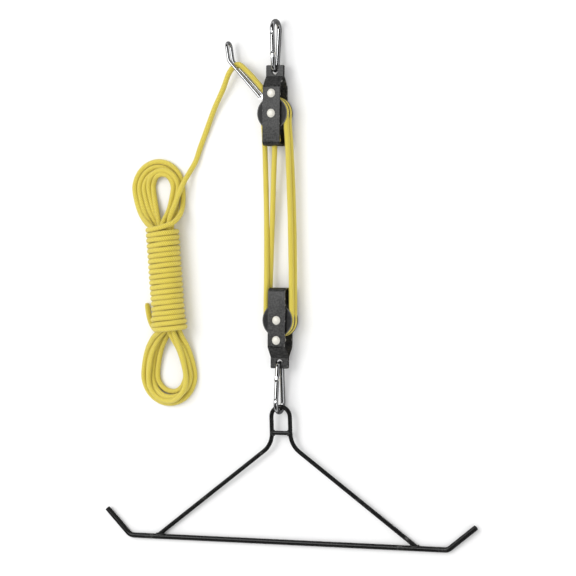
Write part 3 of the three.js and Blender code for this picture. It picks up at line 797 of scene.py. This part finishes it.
def smooth_shading(node):
    """Rounds a faceted node's shading between its creases. Its own vertices stay as they are."""
    mesh = node.data
    for name in ("custom_normal", "sharp_face", "sharp_edge"):
        if name in mesh.attributes:
            mesh.attributes.remove(mesh.attributes[name])
    mesh.polygons.foreach_set("use_smooth", [True] * len(mesh.polygons))
    weld = node.modifiers.new("merge", "WELD")
    weld.merge_threshold = SAME_POINT
    split = node.modifiers.new("creases", "EDGE_SPLIT")
    split.split_angle = CREASE


def finish_cad_parts():
    zinc, chrome, enamel = zinc_plate(), chrome_plate(), bar_enamel()
    by_slot = {"zinc_steel": zinc, "chrome_steel": chrome, "black_enamel": enamel}
    slots = {row["node"]: row["material_slot"] for row in frame["record"]["subparts"]}
    axles = {"upper": UPPER_AXLE, "lower": LOWER_AXLE}
    for name, node in NODES.items():
        if node.hide_render:
            continue
        slot = slots[name]
        if slot == "painted_steel":
            material = block_paint(f"{name}_paint", axles[name.split("_")[0]])
        elif slot == "sheave_nylon":
            low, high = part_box(name)
            material = sheave_nylon(f"{name}_nylon", middle(name), (high.x - low.x) / 2)
        elif slot == "spring_steel":
            material = spring_wire(f"{name}_wire", middle(name))
        else:
            material = by_slot[slot]
        node.material_slots[0].material = material
        smooth_shading(node)


finish_cad_parts()


# ---------------------------------------------------------------- table, light and surroundings

FLOOR_HALF = 20.0
FLOOR_Z = -0.0005
SOFT_LIGHT = 1.0
BACKDROP = 0.93
# What reflections show in place of the white room: the floor, the horizon and the ceiling above it.
MIRRORED_FLOOR = 0.16
MIRRORED_HORIZON = 0.90
MIRRORED_CEILING = 0.02
HORIZON_TOP = 0.08
CEILING_START = 0.50


def make_floor():
    floor = Finish("floor_paper")
    pale = floor.mixed(floor.noise(0.003, 3), shade(0.86), shade(0.89))
    mirrored = floor.add("ShaderNodeLightPath").outputs["Is Glossy Ray"]
    material = floor.finish(floor.mixed(mirrored, pale, shade(MIRRORED_FLOOR)), 0.9)
    mesh = bpy.data.meshes.new("floor")
    signs = [(-1, -1), (1, -1), (1, 1), (-1, 1)]
    corners = [(x * FLOOR_HALF, y * FLOOR_HALF, FLOOR_Z) for x, y in signs]
    mesh.from_pydata(corners, [], [(0, 1, 2, 3)])
    mesh.materials.append(material)
    made = bpy.data.objects.new("floor", mesh)
    bpy.context.scene.collection.objects.link(made)


def soft_light(name, place, size, power):
    """A square soft box, aimed at the middle of the table."""
    data = bpy.data.lights.new(name, "AREA")
    data.shape = "SQUARE"
    data.size = size
    data.energy = power
    light = bpy.data.objects.new(name, data)
    light.location = place
    light.rotation_euler = (-Vector(place)).to_track_quat("-Z", "Y").to_euler()
    bpy.context.scene.collection.objects.link(light)


def make_surroundings():
    """A white room for the camera and for soft light. Reflections show a dark one with a pale horizon."""
    world = bpy.data.worlds.new("studio")
    world.use_nodes = True
    bpy.context.scene.world = world
    tree = world.node_tree
    place = tree.nodes.new("ShaderNodeTexCoord").outputs["Generated"]
    split = tree.nodes.new("ShaderNodeSeparateXYZ")
    tree.links.new(place, split.inputs[0])
    ramp = tree.nodes.new("ShaderNodeValToRGB")
    low, high = ramp.color_ramp.elements
    low.position, low.color = HORIZON_TOP, shade(MIRRORED_HORIZON)
    high.position, high.color = CEILING_START, shade(MIRRORED_CEILING)
    tree.links.new(split.outputs["Z"], ramp.inputs[0])
    rays = tree.nodes.new("ShaderNodeLightPath").outputs
    lit = mixed_colour(tree, rays["Is Glossy Ray"], shade(SOFT_LIGHT), ramp.outputs[0])
    seen = mixed_colour(tree, rays["Is Camera Ray"], lit, shade(BACKDROP))
    tree.links.new(seen, tree.nodes["Background"].inputs["Color"])


make_floor()
make_surroundings()
soft_light("key", place=(-1.1, 0.5, 2.1), size=1.4, power=22)
soft_light("fill", place=(1.9, -0.6, 1.6), size=0.8, power=3)
bpy.context.scene.view_settings.view_transform = "Standard"
